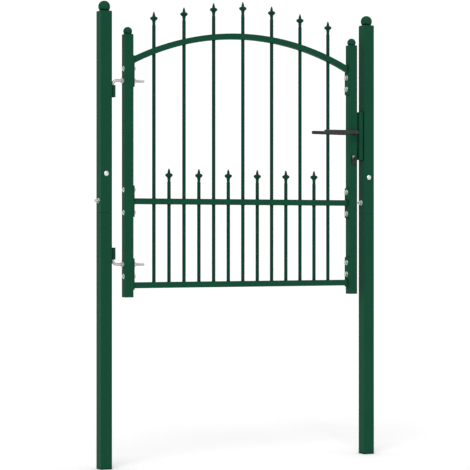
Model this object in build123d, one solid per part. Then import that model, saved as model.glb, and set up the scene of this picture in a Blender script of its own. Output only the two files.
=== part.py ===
import os
from math import atan2, degrees, sqrt

from build123d import *

# Steel garden gate: one leaf with an arched top between two square posts.
# Millimetres. X runs across the gate, +Z is up, -Y is the front.
# The origin is on the hinge post's outer face, at its foot, half way through its depth.

# Posts
post_width = 40.0
post_wall = 2.0
post_corner_radius = 1.2
post_opening = 970.0
post_lower_length = 850.0
post_upper_length = 664.9
post_joint_gap = 0.6
sleeve_wall = 2.5
sleeve_corner_radius = 2.0
sleeve_clearance = 0.4
sleeve_lower_length = 150.0
sleeve_upper_length = 180.0

# Lids with balls, on posts and stiles
lid_thickness = 4.5
lid_rounding = 3.0
post_ball_diameter = 40.0
stile_ball_diameter = 30.0
ball_sink = 6.0

# Leaf outline
hinge_gap = 50.0
latch_gap = 26.0
leaf_foot_below_joint = 282.0
stile_width = 30.0
stile_wall = 2.0
stile_corner_radius = 1.0
stile_length = 874.5

# Rails
rail_width = 20.0
rail_wall = 1.5
rail_corner_radius = 1.5
bottom_rail_height = 40.0
middle_rail_height = 321.0
arch_radius = 930.0
arch_crown_height = 889.5

# Bars
bar_diameter = 12.0
end_bar_offset = 77.0
bar_clearance = 0.1
long_bar_tips_above_crown = (119.5, 110.0, 89.0, 69.0)
short_bar_tip_above_rail = 111.5

# Spear tip, turned
spear_length = 47.0
spear_point_length = 10.5
spear_point_diameter = 9.4
spear_tip_diameter = 3.0
collar_drop = 22.1
collar_top_height = 7.5
collar_foot_height = 8.6
collar_diameter = 25.8
collar_top_diameter = 8.6
collar_foot_diameter = 12.1
collar_edge_height = 5.9
collar_edge_bevel = 0.65
neck_drop = 41.5
neck_diameter = 9.9

# End plates between rails and stiles
plate_thickness = 4.0
plate_height = 105.0
plate_overlap = 15.0
near_bolt_offset = 30.0
far_bolt_offset = 70.0
middle_bolt_offset = 38.0

# Round-head bolts
bolt_diameter = 8.0
bolt_head_diameter = 17.5
bolt_head_height = 4.0
bolt_nut_across_flats = 13.0
bolt_nut_height = 8.0
bolt_flange_diameter = 18.0
bolt_flange_height = 1.5
bolt_end_stand_out = 2.5
bolt_hole_clearance = 0.2
front_bolt_above_joint = 130.0
side_bolt_above_joint = 40.0
side_bolt_end_stand_out = 6.5

# Hinges
hinge_pin_diameter = 10.0
hinge_pin_clearance = 0.3
barrel_diameter = 20.0
barrel_length = 40.0
barrel_weld_width = 15.0
hinge_bend_radius = 16.0
hinge_seat_gap = 0.4
pin_end_setback = 3.0
hinge_rod_reach = 45.0
hinge_nut_across_flats = 17.0
hinge_nut_height = 8.0
hinge_nut_chamfer = 1.2
hinge_thread_clearance = 0.1

# Lock in the latch-side stile
lever_height = 570.0
lever_length = 134.0
lever_stand_off = 45.0
lever_neck_diameter = 14.0
lever_bend_radius = 12.0
lever_tip_diameter = 12.0
lever_tip_rounding = 2.5
lever_face_gap = 0.5
spindle_width = 8.0
spindle_hole_clearance = 0.4
cylinder_drop = 88.0
cylinder_diameter = 17.0
cylinder_foot_width = 10.0
cylinder_total_height = 33.0
cylinder_stand_out = 6.0
cylinder_clearance = 0.2
plug_diameter = 13.0
plug_groove_width = 0.4
plug_groove_depth = 0.8
keyway_width = 2.4
keyway_height = 7.5
keyway_depth = 6.0
keyway_drop = 2.0
lock_case_length = 160.0
lock_case_clearance = 0.4
faceplate_width = 22.0
faceplate_length = 230.0
faceplate_thickness = 2.4
latch_size = (12.0, 18.0)
deadbolt_size = (10.0, 30.0)

# Keeper on the latch post
keeper_depth = 18.0
keeper_width = 30.0
keeper_length = 169.0
keeper_wall = 2.0
keeper_foot_below_lever = 96.0
keeper_slot_clearance = 2.0

# Places worked out from the sizes above
hinge_post_x = post_width / 2
lock_post_x = post_width + post_opening + post_width / 2
joint_z = post_lower_length
leaf_left = post_width + hinge_gap
leaf_right = post_width + post_opening - latch_gap
leaf_centre_x = (leaf_left + leaf_right) / 2
hinge_stile_x = leaf_left + stile_width / 2
lock_stile_x = leaf_right - stile_width / 2
leaf_bottom = joint_z - leaf_foot_below_joint
plate_span = leaf_right - leaf_left - 2 * stile_width
rail_length = plate_span - 2 * plate_thickness
rail_half_length = rail_length / 2
bottom_rail_z = leaf_bottom + bottom_rail_height
middle_rail_z = leaf_bottom + middle_rail_height
arch_crown_z = leaf_bottom + arch_crown_height
arch_centre_z = arch_crown_z - arch_radius
arch_end_z = arch_centre_z + sqrt(arch_radius**2 - rail_half_length**2)
bars_each_side = 2 * (len(long_bar_tips_above_crown) - 1)
bar_pitch = (rail_half_length - end_bar_offset) / bars_each_side
hinge_axis_x = post_width + barrel_diameter / 2
upper_hinge_z = arch_end_z - far_bolt_offset
lower_hinge_z = bottom_rail_z + far_bolt_offset
lever_z = leaf_bottom + lever_height
cylinder_z = lever_z - cylinder_drop
deadbolt_z = cylinder_z + cylinder_diameter
keeper_foot_z = lever_z - keeper_foot_below_lever


def tube_outline(width, wall, corner):
    """Square tube's section: rounded corners outside, sharp ones inside."""
    with BuildSketch() as outline:
        RectangleRounded(width, width, corner)
        Rectangle(width - 2 * wall, width - 2 * wall, mode=Mode.SUBTRACT)
    return outline.sketch


def square_tube(width, wall, corner, length):
    """Square tube standing on Z = 0, centred on the Z axis."""
    return extrude(tube_outline(width, wall, corner), amount=length)


def rod(diameter, length, direction):
    """Round rod of the given length, centred on the origin, along X, Y or Z."""
    turn = {"X": Rotation(0, 90, 0), "Y": Rotation(90, 0, 0), "Z": Rotation(0, 0, 0)}
    return turn[direction] * Cylinder(diameter / 2, length)


def hexagon(across_flats, height):
    """Hexagonal prism standing on Z = 0 with a flat side facing +Y."""
    with BuildPart() as prism:
        with BuildSketch():
            RegularPolygon(across_flats / 2, 6, major_radius=False, rotation=30)
        extrude(amount=height)
    return prism.part


def ball_lid(width, corner, ball_diameter):
    """Plate lid on Z = 0 with a ball sunk a little into it."""
    lid = Pos(0, 0, lid_thickness / 2) * Box(width, width, lid_thickness)
    lid = fillet(lid.faces().sort_by(Axis.Z)[-1].edges(), lid_rounding)
    lid = fillet(lid.edges().filter_by(Axis.Z), corner)
    ball_z = lid_thickness - ball_sink + ball_diameter / 2
    ball = Pos(0, 0, ball_z) * Sphere(ball_diameter / 2)
    return lid + split(ball, Plane.XY, keep=Keep.TOP)


def bolt(grip, end_stand_out):
    """Round-head bolt along Z: head above Z = 0, flanged nut under the grip."""
    head_sphere = (bolt_head_diameter**2 / 4 + bolt_head_height**2) / (2 * bolt_head_height)
    head = Pos(0, 0, bolt_head_height - head_sphere) * Sphere(head_sphere)
    head = split(head, Plane.XY, keep=Keep.TOP)
    shank_length = grip + bolt_nut_height + end_stand_out
    shank = Pos(0, 0, -shank_length / 2) * Cylinder(bolt_diameter / 2, shank_length)
    nut = Pos(0, 0, -grip - bolt_nut_height) * hexagon(bolt_nut_across_flats, bolt_nut_height)
    flange = Cylinder(bolt_flange_diameter / 2, bolt_flange_height)
    flange = Pos(0, 0, -grip - bolt_flange_height / 2) * flange
    return head + shank + nut + flange


def drill_post(tube, bolt_heights):
    """Holes right through a tube for the joint bolts."""
    hole = bolt_diameter + 2 * bolt_hole_clearance
    for direction, height in bolt_heights.items():
        tube -= Pos(0, 0, height) * rod(hole, 2 * post_width, direction)
    return tube


def post_parts(name, x):
    """Upper and lower length, inner sleeve, lid and joint bolts of one post."""
    heights = {"Y": front_bolt_above_joint, "X": side_bolt_above_joint}
    lower = square_tube(post_width, post_wall, post_corner_radius, post_lower_length)
    upper = square_tube(post_width, post_wall, post_corner_radius, post_upper_length)
    upper = drill_post(Pos(0, 0, post_joint_gap) * upper, heights)
    sleeve_width = post_width - 2 * post_wall - 2 * sleeve_clearance
    sleeve_length = sleeve_lower_length + sleeve_upper_length
    sleeve = square_tube(sleeve_width, sleeve_wall, sleeve_corner_radius, sleeve_length)
    sleeve = drill_post(Pos(0, 0, -sleeve_lower_length) * sleeve, heights)
    front_bolt = Pos(0, -post_width / 2, front_bolt_above_joint) * Rotation(90, 0, 0)
    front_bolt = front_bolt * bolt(post_width, bolt_end_stand_out)
    side_bolt = Pos(post_width / 2, 0, side_bolt_above_joint) * Rotation(0, 90, 0)
    side_bolt = side_bolt * bolt(post_width, side_bolt_end_stand_out)
    at_joint = Pos(x, 0, joint_z)
    lid = ball_lid(post_width, post_corner_radius, post_ball_diameter)
    return {
        f"{name}_lower_tube": Pos(x, 0, 0) * lower,
        f"{name}_upper_tube": at_joint * upper,
        f"{name}_sleeve": at_joint * sleeve,
        f"{name}_cap": at_joint * Pos(0, 0, post_joint_gap + post_upper_length) * lid,
        f"{name}_bolts": Compound([at_joint * front_bolt, at_joint * side_bolt]),
    }


def hinge_barrel(mouth_z, below):
    """Bored barrel welded on the post; below says that it hangs under its mouth."""
    centre_z = mouth_z - barrel_length / 2 if below else mouth_z + barrel_length / 2
    with BuildPart() as barrel:
        with BuildSketch():
            Circle(barrel_diameter / 2)
            with Locations((-barrel_diameter / 4, 0)):
                Rectangle(barrel_diameter / 2, barrel_weld_width)
            Circle(hinge_pin_diameter / 2 + hinge_pin_clearance, mode=Mode.SUBTRACT)
        extrude(amount=barrel_length / 2, both=True)
    return Pos(hinge_axis_x, 0, centre_z) * barrel.part


def hinge_bolt(rod_z, pin_down):
    """Bent hinge rod: a leg through the stile and a pin down or up in the barrel."""
    way = -1 if pin_down else 1
    rod_end_x = leaf_left + stile_width + hinge_rod_reach
    pin_end = hinge_bend_radius + hinge_seat_gap + barrel_length - pin_end_setback
    with BuildPart() as bent:
        with BuildLine(Plane.XZ):
            FilletPolyline(
                (rod_end_x, 0),
                (hinge_axis_x, 0),
                (hinge_axis_x, way * pin_end),
                radius=hinge_bend_radius,
            )
        with BuildSketch(Plane.YZ.offset(rod_end_x)):
            Circle(hinge_pin_diameter / 2)
        sweep()
    return Pos(0, 0, rod_z) * bent.part


def hinge_nut():
    """Nut with its first face at X = 0, along +X, chamfered at its corners and bored."""
    height = hinge_nut_height
    nut = hexagon(hinge_nut_across_flats, height)
    corners = hinge_nut_across_flats / sqrt(3)
    low = Cone(corners - hinge_nut_chamfer, corners - hinge_nut_chamfer + height, height)
    nut = nut & (Pos(0, 0, height / 2) * low)
    nut = nut & (Pos(0, 0, height / 2) * Rotation(180, 0, 0) * low)
    nut -= Cylinder(hinge_pin_diameter / 2 + hinge_thread_clearance, 3 * height)
    return Rotation(0, 90, 0) * nut


def hinge_nuts(rod_z):
    """Two nuts that clamp the rod on the stile, outside it and on its end plate."""
    outer = Pos(leaf_left - hinge_nut_height, 0, rod_z) * hinge_nut()
    inner = Pos(leaf_left + stile_width + plate_thickness, 0, rod_z) * hinge_nut()
    return Compound([outer, inner])


def plate_bolt_heights():
    """Bolt heights in each stile, with the two that carry hinge rods marked."""
    return {
        arch_end_z - near_bolt_offset: False,
        upper_hinge_z: True,
        middle_rail_z + middle_bolt_offset: False,
        middle_rail_z - middle_bolt_offset: False,
        lower_hinge_z: True,
        bottom_rail_z + near_bolt_offset: False,
    }


def drill_for_bolts(piece, x, carries_hinges):
    """Holes along X through a stile or a plate at every bolt height."""
    for height, is_hinge in plate_bolt_heights().items():
        hinge_rod_here = is_hinge and carries_hinges
        size = hinge_pin_diameter if hinge_rod_here else bolt_diameter
        hole = rod(size + 2 * bolt_hole_clearance, 3 * stile_width, "X")
        piece -= Pos(x, 0, height) * hole
    return piece


def stile(x, carries_hinges):
    """Leaf upright with its bolt holes."""
    tube = square_tube(stile_width, stile_wall, stile_corner_radius, stile_length)
    tube = Pos(x, 0, leaf_bottom) * tube
    return drill_for_bolts(tube, x, carries_hinges)


def stile_bolts(x, side, carries_hinges):
    """Bolts that hold the end plates on one stile; side is -1 for the hinge stile."""
    grip = stile_width + plate_thickness
    bolts = []
    for height, is_hinge in plate_bolt_heights().items():
        if is_hinge and carries_hinges:
            continue
        head_face = Pos(x + side * stile_width / 2, 0, height) * Rotation(0, side * 90, 0)
        bolts.append(head_face * bolt(grip, bolt_end_stand_out))
    return Compound(bolts)


def end_plate(side, bottom_z, carries_hinges):
    """Flat plate welded on a rail's end and bolted to the stile."""
    x = leaf_centre_x + side * (plate_span - plate_thickness) / 2
    plate = Box(plate_thickness, stile_width, plate_height)
    plate = Pos(x, 0, bottom_z + plate_height / 2) * plate
    return drill_for_bolts(plate, x, carries_hinges)


def bar_places():
    """Number, offset from the leaf's centre and tip height of every bar."""
    places = []
    for number in range(-bars_each_side, bars_each_side + 1):
        if is_short(number):
            tip_z = middle_rail_z + short_bar_tip_above_rail
        else:
            tip_z = arch_crown_z + long_bar_tips_above_crown[abs(number) // 2]
        places.append((number, number * bar_pitch, tip_z))
    return places


def is_short(number):
    """Odd bars from the middle stop above the middle rail."""
    return number % 2 == 1


def bar_hole(length):
    """Cutter for a hole that a bar passes through."""
    return Cylinder(bar_diameter / 2 + bar_clearance, length)


def straight_rail(z):
    """Level rail between two end plates."""
    tube = square_tube(rail_width, rail_wall, rail_corner_radius, rail_length)
    return Pos(leaf_centre_x - rail_half_length, 0, z) * Rotation(0, 90, 0) * tube


def middle_rail():
    """Level rail with a hole right through it for every bar."""
    tube = straight_rail(middle_rail_z)
    for _, offset, _ in bar_places():
        tube -= Pos(leaf_centre_x + offset, 0, middle_rail_z) * bar_hole(2 * rail_width)
    return tube


def arch_rail():
    """Square tube bent to the arch, cut upright at its ends, drilled for the long bars."""
    reach = rail_half_length + rail_width
    end_angle = degrees(atan2(reach, sqrt(arch_radius**2 - reach**2)))
    with BuildPart() as arch:
        with BuildSketch(Plane.XY):
            with Locations((arch_radius, 0)):
                add(tube_outline(rail_width, rail_wall, rail_corner_radius))
        revolve(axis=Axis.Y, revolution_arc=2 * end_angle)
    tube = Rotation(0, -90 - end_angle, 0) * arch.part
    trim = Pos(0, 0, arch_radius) * Box(rail_length, 2 * rail_width, arch_radius)
    tube = tube & trim
    for number, offset, _ in bar_places():
        if not is_short(number):
            tube -= Pos(offset, 0, arch_radius) * bar_hole(arch_radius / 3)
    return Pos(leaf_centre_x, 0, arch_centre_z) * tube


def spear():
    """Turned tip, its point at Z = 0: point, swelling collar with a blunt edge, waisted neck."""
    collar_edge = collar_diameter / 2 - collar_edge_bevel
    profile = [
        (0, 0),
        (spear_tip_diameter / 2, 0),
        (spear_point_diameter / 2, -spear_point_length),
        (collar_top_diameter / 2, collar_top_height - collar_drop),
        (collar_edge, collar_edge_height / 2 - collar_drop),
        (collar_diameter / 2, -collar_drop),
        (collar_edge, -collar_edge_height / 2 - collar_drop),
        (collar_foot_diameter / 2, -collar_foot_height - collar_drop),
        (neck_diameter / 2, -neck_drop),
        (bar_diameter / 2, -spear_length),
        (0, -spear_length),
    ]
    with BuildPart() as turned:
        with BuildSketch(Plane.XZ):
            with BuildLine():
                Polyline(*profile, close=True)
            make_face()
        revolve(axis=Axis.Z)
    return turned.part


def bar(offset, tip_z):
    """Round bar from the top of the bottom rail up to its spear tip."""
    foot_z = bottom_rail_z + rail_width / 2
    length = tip_z - spear_length - foot_z
    shaft = Pos(0, 0, foot_z + length / 2) * Cylinder(bar_diameter / 2, length)
    whole = shaft + Pos(0, 0, tip_z) * spear()
    return Pos(leaf_centre_x + offset, 0, 0) * whole


def cylinder_outline(growth):
    """Profile of the lock cylinder, standing along -Y, grown by a clearance."""
    radius = cylinder_diameter / 2
    foot = cylinder_foot_width / 2
    foot_drop = cylinder_total_height - radius - foot
    with BuildSketch(Plane.XZ) as outline:
        Circle(radius + growth)
        with Locations((0, -foot_drop)):
            Circle(foot + growth)
        with Locations((0, -foot_drop / 2)):
            Rectangle(2 * (foot + growth), foot_drop)
    return outline.sketch


def cylinder_body(growth, length):
    """Lock cylinder through the stile, centred on its own axis."""
    return extrude(cylinder_outline(growth), amount=length / 2, both=True)


def lock_cylinder():
    """Cylinder with a key slot in each end."""
    length = stile_width + 2 * cylinder_stand_out
    body = cylinder_body(0, length)
    slot = Box(keyway_width, keyway_depth, keyway_height)
    groove = Cylinder(plug_diameter / 2 + plug_groove_width, plug_groove_depth)
    groove -= Cylinder(plug_diameter / 2, plug_groove_depth)
    groove = Rotation(90, 0, 0) * groove
    for end in (-1, 1):
        body -= Pos(0, end * (length - keyway_depth) / 2, -keyway_drop) * slot
        body -= Pos(0, end * (length - plug_groove_depth) / 2, 0) * groove
    return Pos(lock_stile_x, 0, cylinder_z) * body


def lock_case():
    """Lock body inside the stile with its faceplate, latch and bolt drawn in."""
    inner = stile_width - 2 * stile_wall - 2 * lock_case_clearance
    case_z = (lever_z + cylinder_z) / 2
    case = Pos(lock_stile_x, 0, case_z) * Box(inner, inner, lock_case_length)
    faceplate_x = leaf_right - faceplate_thickness / 2
    faceplate = Box(faceplate_thickness, faceplate_width, faceplate_length)
    faceplate = fillet(faceplate.edges().filter_by(Axis.X), faceplate_width / 2.2)
    tongue_x = leaf_right - stile_wall / 2
    lock = case + Pos(faceplate_x, 0, case_z) * faceplate
    for size, z in ((latch_size, lever_z), (deadbolt_size, deadbolt_z)):
        lock += Pos(tongue_x, 0, z) * Box(2 * stile_wall, size[0], size[1])
    lock -= spindle_hole()
    return lock - cylinder_hole()


def spindle_hole():
    """Round hole for the square spindle, right through the stile."""
    size = spindle_width * sqrt(2) + 2 * spindle_hole_clearance
    return Pos(lock_stile_x, 0, lever_z) * rod(size, 2 * stile_width, "Y")


def cylinder_hole():
    """Hole of the cylinder's outline, right through the stile."""
    return Pos(lock_stile_x, 0, cylinder_z) * cylinder_body(cylinder_clearance, 2 * stile_width)


def faceplate_pocket():
    """Opening in the stile's outer wall that the faceplate lies in."""
    case_z = (lever_z + cylinder_z) / 2
    width = faceplate_width + 2 * lock_case_clearance
    length = faceplate_length + 2 * lock_case_clearance
    pocket = Box(3 * stile_wall, width, length)
    pocket = fillet(pocket.edges().filter_by(Axis.X), width / 2.2)
    return Pos(leaf_right, 0, case_z) * pocket


def lock_stile():
    """Latch-side upright, cut for the lock."""
    upright = stile(lock_stile_x, False)
    upright -= faceplate_pocket()
    upright -= spindle_hole()
    return upright - cylinder_hole()


def lever(side):
    """Lever on one face of the leaf: neck out of the stile, bend, tapering grip."""
    face = stile_width / 2 + lever_face_gap
    bend_y = lever_stand_off - lever_bend_radius
    neck_length = bend_y - face
    neck = Pos(0, face + neck_length / 2, 0) * rod(lever_neck_diameter, neck_length, "Y")
    with BuildPart() as elbow:
        with BuildSketch(Plane.XZ.offset(-bend_y)):
            Circle(lever_neck_diameter / 2)
        revolve(axis=Axis((-lever_bend_radius, bend_y, 0), (0, 0, 1)), revolution_arc=90)
    grip_length = lever_length - lever_bend_radius
    grip = Cone(lever_neck_diameter / 2, lever_tip_diameter / 2, grip_length)
    grip = fillet(grip.faces().sort_by(Axis.Z)[-1].edges(), lever_tip_rounding)
    grip_x = -lever_bend_radius - grip_length / 2
    grip = Pos(grip_x, lever_stand_off, 0) * Rotation(0, -90, 0) * grip
    whole = neck + elbow.part + grip
    if side < 0:
        whole = mirror(whole, about=Plane.XZ)
    return Pos(lock_stile_x, 0, lever_z) * whole


def spindle():
    """Square bar that joins the two levers."""
    length = stile_width + 2 * lever_face_gap
    return Pos(lock_stile_x, 0, lever_z) * Box(spindle_width, length, spindle_width)


def keeper():
    """Hollow keeper on the latch post with a slot each for latch and bolt."""
    x = post_width + post_opening - keeper_depth / 2
    z = keeper_foot_z + keeper_length / 2
    body = Box(keeper_depth, keeper_width, keeper_length)
    wall = 2 * keeper_wall
    body -= Box(keeper_depth - wall, keeper_width - wall, keeper_length - wall)
    body = Pos(x, 0, z) * body
    for size, slot_z in ((latch_size, lever_z), (deadbolt_size, deadbolt_z)):
        grown = 2 * keeper_slot_clearance
        slot = Box(3 * keeper_wall, size[0] + grown, size[1] + grown)
        body -= Pos(x - keeper_depth / 2, 0, slot_z) * slot
    return body


def build_nodes():
    """Every node by name."""
    nodes = {}
    nodes.update(post_parts("hinge_post", hinge_post_x))
    nodes.update(post_parts("lock_post", lock_post_x))
    upper_mouth = upper_hinge_z - hinge_bend_radius - hinge_seat_gap
    lower_mouth = lower_hinge_z + hinge_bend_radius + hinge_seat_gap
    nodes["upper_hinge_barrel"] = hinge_barrel(upper_mouth, True)
    nodes["lower_hinge_barrel"] = hinge_barrel(lower_mouth, False)
    nodes["keeper"] = keeper()

    nodes["hinge_stile"] = stile(hinge_stile_x, True)
    nodes["lock_stile"] = lock_stile()
    stile_top = leaf_bottom + stile_length
    stile_lid = ball_lid(stile_width, stile_corner_radius, stile_ball_diameter)
    nodes["hinge_stile_cap"] = Pos(hinge_stile_x, 0, stile_top) * stile_lid
    nodes["lock_stile_cap"] = Pos(lock_stile_x, 0, stile_top) * stile_lid
    plate_feet = {
        "top": arch_end_z + plate_overlap - plate_height,
        "middle": middle_rail_z - plate_height / 2,
        "bottom": bottom_rail_z - plate_overlap,
    }
    for place, foot_z in plate_feet.items():
        nodes[f"hinge_side_{place}_plate"] = end_plate(-1, foot_z, True)
        nodes[f"lock_side_{place}_plate"] = end_plate(1, foot_z, False)
    nodes["arch_rail"] = arch_rail()
    nodes["middle_rail"] = middle_rail()
    nodes["bottom_rail"] = straight_rail(bottom_rail_z)
    long_count = 0
    short_count = 0
    for number, offset, tip_z in bar_places():
        if is_short(number):
            short_count += 1
            nodes[f"short_bar_{short_count}"] = bar(offset, tip_z)
        else:
            long_count += 1
            nodes[f"long_bar_{long_count}"] = bar(offset, tip_z)
    nodes["hinge_stile_bolts"] = stile_bolts(hinge_stile_x, -1, True)
    nodes["lock_stile_bolts"] = stile_bolts(lock_stile_x, 1, False)
    nodes["upper_hinge_bolt"] = hinge_bolt(upper_hinge_z, True)
    nodes["lower_hinge_bolt"] = hinge_bolt(lower_hinge_z, False)
    nodes["upper_hinge_nuts"] = hinge_nuts(upper_hinge_z)
    nodes["lower_hinge_nuts"] = hinge_nuts(lower_hinge_z)
    nodes["lock_case"] = lock_case()
    nodes["lock_cylinder"] = lock_cylinder()

    nodes["front_lever"] = lever(-1)
    nodes["rear_lever"] = lever(1)
    nodes["spindle"] = spindle()
    return nodes


def main():
    os.makedirs("parts", exist_ok=True)
    for name, shape in build_nodes().items():
        export_step(shape, f"parts/{name}.step")


main()
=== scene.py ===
import math
import random

import bmesh
import bpy
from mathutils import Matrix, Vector


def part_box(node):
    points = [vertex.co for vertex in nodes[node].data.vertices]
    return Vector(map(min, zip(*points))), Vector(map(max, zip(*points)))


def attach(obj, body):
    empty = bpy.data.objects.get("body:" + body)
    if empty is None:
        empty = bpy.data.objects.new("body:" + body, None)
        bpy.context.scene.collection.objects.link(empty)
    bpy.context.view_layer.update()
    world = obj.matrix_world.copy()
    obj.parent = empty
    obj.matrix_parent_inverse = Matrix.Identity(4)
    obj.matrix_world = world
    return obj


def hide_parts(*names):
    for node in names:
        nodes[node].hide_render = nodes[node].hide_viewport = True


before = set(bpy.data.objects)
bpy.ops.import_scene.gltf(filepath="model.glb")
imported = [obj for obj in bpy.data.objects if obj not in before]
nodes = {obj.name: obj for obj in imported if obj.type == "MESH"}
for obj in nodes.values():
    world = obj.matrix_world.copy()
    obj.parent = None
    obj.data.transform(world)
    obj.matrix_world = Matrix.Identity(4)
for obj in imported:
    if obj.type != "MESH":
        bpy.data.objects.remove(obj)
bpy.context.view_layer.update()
scene = bpy.context.scene

# Sizes in metres, the same as in the CAD
MM = 0.001
BAR_RADIUS = 6.0 * MM
RAIL_SIZE = 20.0 * MM
ARCH_OUTER = 940.0 * MM
ARCH_INNER = 920.0 * MM
ROD_RADIUS = 5.0 * MM
ROD_BEND = 16.0 * MM

X_AXIS = Vector((1, 0, 0))
Y_AXIS = Vector((0, 1, 0))
Z_AXIS = Vector((0, 0, 1))


def photo_camera():
    """Camera at the photograph's angle, fitted to the edges of posts, rails and bars."""
    data = bpy.data.cameras.new("camera")
    data.sensor_width = 36.0
    data.lens = 149.3
    data.shift_y = -0.00145
    data.clip_start = 0.05
    data.clip_end = 200.0
    camera = bpy.data.objects.new("camera", data)
    camera.location = (-2.5209, -5.9650, 0.7784)
    camera.rotation_euler = (math.radians(90), 0, -0.46969)
    scene.collection.objects.link(camera)
    scene.camera = camera


photo_camera()


class Nodes:
    """Small helper that builds one material's node tree."""

    # The Mix node's colour sockets share their names with others, so they go by number
    MIX_COLOURS = (6, 7)
    MIX_RESULT = 2

    def __init__(self, name):
        self.material = bpy.data.materials.new(name)
        self.material.use_nodes = True
        self.tree = self.material.node_tree
        self.tree.nodes.clear()
        self.out = self.add("ShaderNodeOutputMaterial")
        self.shader = self.add("ShaderNodeBsdfPrincipled")
        self.link(self.shader.outputs[0], self.out.inputs[0])
        self.coords = self.add("ShaderNodeTexCoord").outputs["Object"]

    def add(self, kind):
        return self.tree.nodes.new(kind)

    def link(self, source, target):
        self.tree.links.new(source, target)

    def stretch(self, scale):
        """The object's coordinates, scaled along each axis."""
        node = self.add("ShaderNodeMapping")
        node.inputs["Scale"].default_value = scale
        self.link(self.coords, node.inputs["Vector"])
        return node.outputs[0]

    def noise(self, scale, detail=2.0, rough=0.5, coords=None):
        node = self.add("ShaderNodeTexNoise")
        node.inputs["Scale"].default_value = scale
        node.inputs["Detail"].default_value = detail
        node.inputs["Roughness"].default_value = rough
        self.link(coords or self.coords, node.inputs["Vector"])
        return node.outputs["Fac"]

    def ramp(self, source, low, high, start=0.3, end=0.7):
        """Colour that goes from low to high while source goes from start to end."""
        node = self.add("ShaderNodeValToRGB")
        for stop, position, colour in zip(node.color_ramp.elements, (start, end), (low, high)):
            stop.position = position
            stop.color = (*colour, 1)
        self.link(source, node.inputs[0])
        return node.outputs[0]

    def values(self, source, low, high, start=0.3, end=0.7):
        """Number that goes from low to high while source goes from start to end."""
        node = self.add("ShaderNodeMapRange")
        node.inputs["From Min"].default_value = start
        node.inputs["From Max"].default_value = end
        node.inputs["To Min"].default_value = low
        node.inputs["To Max"].default_value = high
        self.link(source, node.inputs["Value"])
        return node.outputs[0]

    def math(self, kind, *sources):
        node = self.add("ShaderNodeMath")
        node.operation = kind
        for socket, source in zip(node.inputs, sources):
            self.link(source, socket)
        return node.outputs[0]

    def mix(self, factor, *colours):
        """Goes from the first colour to the second; each is a tuple or a socket."""
        node = self.add("ShaderNodeMix")
        node.data_type = "RGBA"
        self.link(factor, node.inputs["Factor"])
        for number, colour in zip(self.MIX_COLOURS, colours):
            if isinstance(colour, tuple):
                node.inputs[number].default_value = (*colour, 1)
            else:
                self.link(colour, node.inputs[number])
        return node.outputs[self.MIX_RESULT]

    def bump(self, height, distance, strength, normal=None):
        node = self.add("ShaderNodeBump")
        node.inputs["Strength"].default_value = strength
        node.inputs["Distance"].default_value = distance
        self.link(height, node.inputs["Height"])
        if normal is not None:
            self.link(normal, node.inputs["Normal"])
        return node.outputs[0]

    def crevice(self, distance):
        """1 on open surfaces, towards 0 where other surfaces are nearer than distance."""
        node = self.add("ShaderNodeAmbientOcclusion")
        node.samples = 8
        node.inputs["Distance"].default_value = distance
        return node.outputs["AO"]

    def along_y(self):
        """1 on faces that look along Y, 0 on those that look across it."""
        node = self.add("ShaderNodeNewGeometry")
        split = self.add("ShaderNodeSeparateXYZ")
        self.link(node.outputs["Normal"], split.inputs[0])
        return self.math("ABSOLUTE", split.outputs["Y"])

    def near(self, point):
        """Distance from a point of the object's own space."""
        node = self.add("ShaderNodeVectorMath")
        node.operation = "DISTANCE"
        node.inputs[1].default_value = point
        self.link(self.coords, node.inputs[0])
        return node.outputs["Value"]

    def bevel(self, radius):
        """Normal that rounds sharp edges off."""
        node = self.add("ShaderNodeBevel")
        node.samples = 4
        node.inputs["Radius"].default_value = radius
        return node.outputs[0]

    def finish(self, **settings):
        """Sets the shader's sockets, each from a number or a socket, and gives the material."""
        for key, setting in settings.items():
            socket = self.shader.inputs[key.replace("_", " ")]
            if isinstance(setting, float):
                socket.default_value = setting
            else:
                self.link(setting, socket)
        return self.material


# Materials
def darker(colour, share):
    return tuple(share * c for c in colour)


def paint(name, deep, light, cloud_scale):
    """Dark green powder coat: orange peel, faint cloudiness, and painted shade in its corners."""
    n = Nodes(name)
    cloud = n.noise(cloud_scale, 3.0, 0.55)
    fine = n.noise(700.0, 2.0, 0.5)
    tone = n.ramp(cloud, deep, light, 0.3, 0.72)
    # Painted shade: the coat turns near black where other surfaces are close by.
    corner = n.values(n.crevice(9.0 * MM), 1.0, 0.0, 0.5, 0.9)
    tone = n.mix(corner, tone, darker(deep, 0.12))
    rough = n.values(n.noise(60.0, 3.0, 0.6), 0.42, 0.52)
    peel = n.bump(fine, 0.05 * MM, 0.35, n.bevel(0.6 * MM))
    return n.finish(Base_Color=tone, Roughness=rough, Normal=peel, Specular_IOR_Level=0.045)


def zinc(name, tone, corner_shade):
    """Bright zinc plate: cloudy metal with fine scratches, dull patches, and painted shade in its
    corners.
    """
    n = Nodes(name)
    cloud = n.noise(90.0, 4.0, 0.6)
    patches = n.values(n.noise(35.0, 2.0, 0.5), 0.0, 0.8, 0.35, 0.75)
    base = n.ramp(cloud, darker(tone, 0.88), tone, 0.25, 0.75)
    dulled = tuple(c * share for c, share in zip(tone, (0.93, 0.93, 0.92)))
    base = n.mix(patches, base, dulled)
    # Painted shade: the zinc turns dark where other surfaces are close by, in corners and thread
    # roots.
    corner = n.values(n.crevice(4.0 * MM), corner_shade, 0.0, 0.35, 0.8)
    base = n.mix(corner, base, darker(tone, 0.25))
    scratch = n.noise(400.0, 2.0, 0.7, n.stretch((1.0, 1.0, 6.0)))
    rough = n.math("ADD", n.values(cloud, 0.30, 0.42), n.values(scratch, -0.05, 0.08))
    normal = n.bump(scratch, 0.02 * MM, 0.3, n.bevel(0.4 * MM))
    return n.finish(Base_Color=base, Metallic=0.92, Roughness=rough, Normal=normal)


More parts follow.
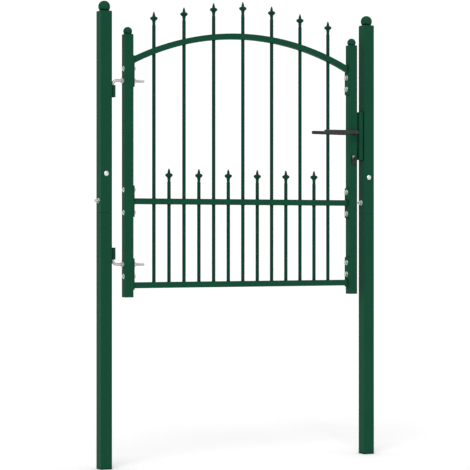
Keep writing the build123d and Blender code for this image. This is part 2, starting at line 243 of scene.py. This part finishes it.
def satin_nickel(low, high):
    """Lock cylinder: end faces painted dark as shade, with a painted highlight on the rounded shoulder
    at their upper left, and keyways painted black as shade.
    """
    n = Nodes("satin_nickel")
    turned = n.noise(700.0, 2.0, 0.5, n.stretch((1.0, 0.05, 1.0)))
    barrel = n.ramp(turned, (0.34, 0.34, 0.32), (0.50, 0.50, 0.47))
    # Painted shade: the end faces are far darker than the barrel, standing in for the shade and dark
    # reflection they show.
    face = n.ramp(turned, (0.018, 0.028, 0.022), (0.034, 0.046, 0.038))
    # Painted highlight: the end face turns light near a point at its upper left.
    highlight_x = low.x + 0.20 * (high.x - low.x)
    highlight_z = high.z - 0.11 * (high.z - low.z)
    highlight_distance = n.near((highlight_x, low.y, highlight_z))
    face = n.mix(n.values(highlight_distance, 1.0, 0.0, 3.0 * MM, 8.5 * MM), face, (0.34, 0.36, 0.33))
    base = n.mix(n.values(n.along_y(), 0.0, 1.0, 0.5, 0.9), barrel, face)
    # Painted shade: keyways and corners turn near black where other surfaces are close by.
    base = n.mix(n.values(n.crevice(4.0 * MM), 1.0, 0.0, 0.3, 0.7), base, (0.004, 0.004, 0.004))
    rough = n.values(n.noise(220.0, 3.0), 0.24, 0.38)
    normal = n.bump(turned, 0.02 * MM, 0.4, n.bevel(0.4 * MM))
    return n.finish(Base_Color=base, Metallic=0.9, Roughness=rough, Normal=normal)


def black_satin():
    """Black lever: fine-textured coat with slightly rubbed patches."""
    n = Nodes("black_satin")
    rub = n.noise(45.0, 3.0, 0.6)
    grain = n.noise(1500.0, 2.0, 0.6)
    base = n.ramp(rub, (0.0128, 0.0124, 0.0124), (0.0240, 0.0234, 0.0234))
    rough = n.values(rub, 0.36, 0.48)
    normal = n.bump(grain, 0.05 * MM, 0.35, n.bevel(0.8 * MM))
    return n.finish(Base_Color=base, Roughness=rough, Specular_IOR_Level=0.36, Normal=normal)


def plain_floor():
    """Pale studio floor with a faint mottle."""
    n = Nodes("pale_floor")
    mottle = n.noise(3.0, 3.0, 0.6)
    base = n.ramp(mottle, (0.935, 0.935, 0.935), (0.95, 0.95, 0.95))
    rough = n.values(mottle, 0.75, 0.9)
    normal = n.bump(n.noise(60.0), 0.2 * MM, 0.1)
    return n.finish(Base_Color=base, Roughness=rough, Specular_IOR_Level=0.1, Normal=normal)


def white_backdrop():
    """Evenly bright backdrop."""
    n = Nodes("white_backdrop")
    glow = n.add("ShaderNodeEmission")
    glow.inputs["Color"].default_value = (1, 1, 1, 1)
    glow.inputs["Strength"].default_value = 1.05
    n.link(glow.outputs[0], n.out.inputs[0])
    return n.material


post_green = paint("post_green", (0.0046, 0.0530, 0.0260), (0.0054, 0.0590, 0.0290), 9.0)
leaf_green = paint("leaf_green", (0.0044, 0.0535, 0.0260), (0.0052, 0.0595, 0.0290), 14.0)
# Painted shade: the bars get a darker copy of the leaf's green.
bar_green = paint("bar_green", (0.0022, 0.0370, 0.0200), (0.0028, 0.0415, 0.0225), 20.0)
bright_zinc = zinc("bright_zinc", (0.71, 0.76, 0.73), 0.75)
rod_zinc = zinc("rod_zinc", (0.60, 0.59, 0.585), 0.25)
nut_zinc = zinc("nut_zinc", (0.58, 0.62, 0.59), 0.85)
dull_zinc = zinc("dull_zinc", (0.46, 0.47, 0.455), 0.75)
nickel = satin_nickel(*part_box("lock_cylinder"))
black = black_satin()


def material_for(name):
    """Finish of a CAD node."""
    if name in ("front_lever", "rear_lever"):
        return black
    if name == "lock_cylinder":
        return nickel
    if name in ("lock_case", "spindle"):
        return dull_zinc
    if name.endswith("_nuts"):
        return nut_zinc
    if name.endswith("_hinge_bolt"):
        return rod_zinc
    if name.endswith("_bolts"):
        return bright_zinc
    if "_bar_" in name:
        return bar_green
    if name.startswith(("hinge_post", "lock_post", "keeper", "upper_hinge", "lower_hinge")):
        return post_green
    return leaf_green


for name, node in nodes.items():
    node.data.materials.clear()
    node.data.materials.append(material_for(name))


# Helpers for new pieces
def mesh_object(name, build, material):
    """Object whose mesh is what build puts into a bmesh."""
    mesh = bpy.data.meshes.new(name)
    bm = bmesh.new()
    build(bm)
    bm.to_mesh(mesh)
    bm.free()
    mesh.materials.append(material)
    made = bpy.data.objects.new(name, mesh)
    scene.collection.objects.link(made)
    return made


def add_piece(name, build, material, body):
    """Smooth piece with its faces turned outward, which rides on a body."""
    def build_outward(bm):
        build(bm)
        bmesh.ops.recalc_face_normals(bm, faces=bm.faces)

    piece = mesh_object(name, build_outward, material)
    for face in piece.data.polygons:
        face.use_smooth = True
    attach(piece, body)
    return piece


def tube(bm, path, radius_at, sides, closed=False):
    """Skins a tube over path; radius_at(step, angle) gives its radius all round."""
    count = len(path)
    rings = []
    side_hint = None
    for i, point in enumerate(path):
        before = path[i - 1] if closed or i > 0 else path[i]
        after = path[(i + 1) % count] if closed or i < count - 1 else path[i]
        along = (after - before).normalized()
        if side_hint is None:
            side_hint = along.orthogonal()
        u = (side_hint - along * side_hint.dot(along)).normalized()
        side_hint = u
        v = along.cross(u)
        ring = []
        for k in range(sides):
            angle = 2 * math.pi * k / sides
            r = radius_at(i, angle)
            ring.append(bm.verts.new(point + u * (r * math.cos(angle)) + v * (r * math.sin(angle))))
        rings.append(ring)
    last = count if closed else count - 1
    for i in range(last):
        a, b = rings[i], rings[(i + 1) % count]
        for k in range(sides):
            j = (k + 1) % sides
            bm.faces.new((a[k], a[j], b[j], b[k]))
    if not closed:
        bm.faces.new(list(reversed(rings[0])))
        bm.faces.new(rings[-1])


def bead(bm, path, size, seed, closed=False, sides=7):
    """Weld bead: a lumpy tube along path, with pinched ends where it is open."""
    rng = random.Random(seed)
    lumps = [size * (1 + rng.uniform(-0.18, 0.22)) for _ in path]
    if not closed:
        lumps[0] = lumps[-1] = size * 0.5
    tube(bm, path, lambda i, angle: lumps[i], sides, closed)


def straight_path(start, end, steps):
    """Evenly spaced points from start to end."""
    return [start.lerp(end, i / steps) for i in range(steps + 1)]


def ring_path(x, radius, height_at):
    """Closed path round an upright bar at x, at the height that a rail's surface has there."""
    steps = 22
    path = []
    for k in range(steps):
        angle = 2 * math.pi * k / steps
        px = x + radius * math.cos(angle)
        path.append(Vector((px, radius * math.sin(angle), height_at(px))))
    return path


def rounded_square(centre, axis_u, axis_v, half, corner):
    """Closed path round a square with rounded corners, its straight sides divided into short steps."""
    corner_points = 7
    spacing = 2.2 * MM
    points = []
    for quarter in range(4):
        angle = quarter * math.pi / 2
        cu = math.cos(angle) - math.sin(angle)
        cv = math.sin(angle) + math.cos(angle)
        for k in range(corner_points):
            t = angle + math.pi / 2 * k / (corner_points - 1)
            u = cu * (half - corner) + corner * math.cos(t)
            v = cv * (half - corner) + corner * math.sin(t)
            points.append(centre + axis_u * u + axis_v * v)
    dense = []
    for i, point in enumerate(points):
        after = points[(i + 1) % len(points)]
        steps = max(1, round((after - point).length / spacing))
        dense += [point.lerp(after, s / steps) for s in range(steps)]
    return dense


# Hinge rods: smooth bent pin, rolled thread along the straight leg
THREAD_CORE = 4.35 * MM
THREAD_PITCH = 1.5 * MM
BEND_STEPS = 12
PLAIN_STEP = 3.0 * MM
STEPS_PER_TURN = 8
RUN_IN_TURNS = 2.0
END_ROUNDING = 1.0 * MM
PIN_TIP_ROUNDING = (END_ROUNDING, 0.45 * MM)
PIN_TIP_STEPS = (0.0, 0.5 * MM, 1.2 * MM)
THREAD_BEFORE_STILE = 14.0 * MM
END_TOLERANCE = 0.2 * MM


def rod_path(node, pin_down):
    """Centre line of a hinge rod from its pin's tip, and the step at which its thread starts."""
    low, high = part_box(node)
    way = -1.0 if pin_down else 1.0
    rod_z = high.z - ROD_RADIUS if pin_down else low.z + ROD_RADIUS
    pin_x = low.x + ROD_RADIUS
    pin_z = low.z if pin_down else high.z
    thread_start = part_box("hinge_stile")[0].x - THREAD_BEFORE_STILE
    path = [Vector((pin_x, 0, pin_z - way * back)) for back in PIN_TIP_STEPS]
    path.append(Vector((pin_x, 0, rod_z + way * ROD_BEND)))
    for k in range(1, BEND_STEPS + 1):
        t = math.pi / 2 * k / BEND_STEPS
        bend_x = pin_x + ROD_BEND * (1 - math.cos(t))
        bend_z = rod_z + way * ROD_BEND * (1 - math.sin(t))
        path.append(Vector((bend_x, 0, bend_z)))
    x = path[-1].x
    while x < thread_start:
        x += PLAIN_STEP
        path.append(Vector((x, 0, rod_z)))
    first_thread = len(path)
    while x < high.x - END_TOLERANCE:
        x = min(x + THREAD_PITCH / STEPS_PER_TURN, high.x)
        path.append(Vector((x, 0, rod_z)))
    return path, first_thread


def hinge_rod(node, pin_down):
    """Threaded rod that takes the place of a plain CAD one."""
    path, first_thread = rod_path(node, pin_down)

    def radius_at(i, angle):
        if i < len(PIN_TIP_ROUNDING):
            return ROD_RADIUS - PIN_TIP_ROUNDING[i]
        if i < first_thread:
            return ROD_RADIUS
        turns = (i - first_thread) / STEPS_PER_TURN
        wave = abs(2 * ((turns - angle / (2 * math.pi)) % 1.0) - 1)
        depth = (ROD_RADIUS - THREAD_CORE) * min(1.0, turns / RUN_IN_TURNS)
        to_end = (len(path) - 1 - i) * THREAD_PITCH / STEPS_PER_TURN
        return min(ROD_RADIUS - depth * wave, ROD_RADIUS - END_ROUNDING + to_end)

    def build(bm):
        tube(bm, path, radius_at, sides=28)

    piece = add_piece(node + "_rod", build, rod_zinc, "leaf")
    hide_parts(node)


hinge_rod("upper_hinge_bolt", True)
hinge_rod("lower_hinge_bolt", False)


# Weld beads, and the paint in the posts' joints
arch_low, arch_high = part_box("arch_rail")
arch_x = (arch_low.x + arch_high.x) / 2
arch_z = arch_high.z - ARCH_OUTER


def arch_height(radius, offset):
    """Height of the arch's surface of that radius, at that offset from its middle."""
    return arch_z + math.sqrt(radius**2 - offset**2)


def bar_welds(bm):
    """A ring of weld at each face of a rail that a bar meets."""
    size = 0.75 * MM
    radius = BAR_RADIUS + 0.25 * MM
    middle_low, middle_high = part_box("middle_rail")
    bottom_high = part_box("bottom_rail")[1]
    rail_faces = [
        lambda px: bottom_high.z,
        lambda px: middle_low.z,
        lambda px: middle_high.z,
    ]
    arch_faces = [
        lambda px: arch_height(ARCH_INNER, px - arch_x),
        lambda px: arch_height(ARCH_OUTER, px - arch_x),
    ]
    seed = 10
    for name in sorted(n for n in nodes if "_bar_" in n):
        low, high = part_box(name)
        faces = rail_faces + arch_faces if name.startswith("long") else rail_faces
        for height_at in faces:
            seed += 1
            path = ring_path((low.x + high.x) / 2, radius, height_at)
            bead(bm, path, size, seed, closed=True, sides=6)


def rail_welds(bm):
    """A seam round each end of each rail, where it meets its end plate."""
    size = 1.25 * MM
    half = RAIL_SIZE / 2 + 0.2 * MM
    corner = 1.8 * MM
    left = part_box("hinge_side_bottom_plate")[1].x
    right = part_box("lock_side_bottom_plate")[0].x
    half_span = (right - left) / 2
    ends = [(low.z, high.z) for low, high in (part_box("middle_rail"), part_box("bottom_rail"))]
    ends.append((arch_height(ARCH_INNER, half_span), arch_height(ARCH_OUTER, half_span)))
    seed = 200
    for low_z, high_z in ends:
        upright = Z_AXIS * ((high_z - low_z) / RAIL_SIZE)
        for x in (left, right):
            seed += 1
            centre = Vector((x, 0, (low_z + high_z) / 2))
            path = rounded_square(centre, Y_AXIS, upright, half, corner)
            bead(bm, path, size, seed, closed=True)


def barrel_welds(bm):
    """An upright bead on each side of each hinge barrel, against its post."""
    size = 1.7 * MM
    inset = 1.0 * MM
    beside = 8.4 * MM
    seed = 300
    for name in ("upper_hinge_barrel", "lower_hinge_barrel"):
        low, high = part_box(name)
        for y in (-beside, beside):
            seed += 1
            start = Vector((low.x + inset, y, low.z + inset))
            end = Vector((low.x + inset, y, high.z - inset))
            bead(bm, straight_path(start, end, steps=18), size, seed, sides=8)


def keeper_welds(bm):
    """Three short beads up the back of the keeper, against its post."""
    size = 1.2 * MM
    length = 24.0 * MM
    end_margin = 8.0 * MM
    edge_inset = 0.6 * MM
    sunk = 0.2 * MM
    low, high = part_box("keeper")
    middle = (low.z + high.z) / 2
    seed = 400
    for foot in (low.z + end_margin, middle - length / 2, high.z - end_margin - length):
        seed += 1
        start = Vector((high.x - edge_inset, high.y - sunk, foot))
        bead(bm, straight_path(start, start + Z_AXIS * length, steps=11), size, seed)


def joint_paint(bm):
    """Paint that closes the line where a post's two lengths meet."""
    size = 0.45 * MM
    inset = 0.9 * MM
    corner = 0.6 * MM
    seed = 500
    for post in ("hinge_post", "lock_post"):
        low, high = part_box(post + "_lower_tube")
        joint_z = (high.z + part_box(post + "_upper_tube")[0].z) / 2
        centre = Vector(((low.x + high.x) / 2, 0, joint_z))
        seed += 1
        path = rounded_square(centre, X_AXIS, Y_AXIS, high.y - inset, corner)
        bead(bm, path, size, seed, closed=True, sides=6)


add_piece("bar_welds", bar_welds, leaf_green, "leaf")
add_piece("rail_welds", rail_welds, leaf_green, "leaf")
add_piece("barrel_welds", barrel_welds, post_green, "posts")
add_piece("keeper_welds", keeper_welds, post_green, "posts")
add_piece("joint_paint", joint_paint, post_green, "posts")


# Floor, backdrop and light, with the backdrop just inside the floor's edge
FLOOR_RADIUS = 60.0
BACKDROP_RADIUS = 59.0


def add_floor():
    """Wide floor just under the posts' feet."""
    def build(bm):
        bmesh.ops.create_circle(bm, cap_ends=True, radius=FLOOR_RADIUS, segments=64)

    made = mesh_object("floor", build, plain_floor())
    made.location = (0, 0, -0.5 * MM)
    return made


def add_backdrop():
    """Bright dome that only the camera sees, so it neither lights nor shades the gate."""
    def build(bm):
        bmesh.ops.create_uvsphere(bm, u_segments=48, v_segments=24, radius=BACKDROP_RADIUS)

    made = mesh_object("backdrop", build, white_backdrop())
    made.visible_diffuse = False
    made.visible_glossy = False
    made.visible_transmission = False
    made.visible_volume_scatter = False
    made.visible_shadow = False
    return made


def studio_world():
    """Even white light from all round."""
    world = bpy.data.worlds.new("studio")
    scene.world = world
    world.use_nodes = True
    background = world.node_tree.nodes["Background"]
    background.inputs["Color"].default_value = (1, 1, 1, 1)
    background.inputs["Strength"].default_value = 0.85


def key_light():
    """Broad, soft light from above and a little to the left of the camera."""
    data = bpy.data.lights.new("key", "SUN")
    data.energy = 1.35
    data.angle = math.radians(32)
    sun = bpy.data.objects.new("key", data)
    sun.rotation_euler = (math.radians(50), 0, math.radians(-36))
    scene.collection.objects.link(sun)


floor = add_floor()
dome = add_backdrop()
studio_world()
key_light()

scene.view_settings.view_transform = "Standard"
scene.view_settings.look = "None"
scene.view_settings.exposure = 0.0
scene.view_settings.gamma = 1.0
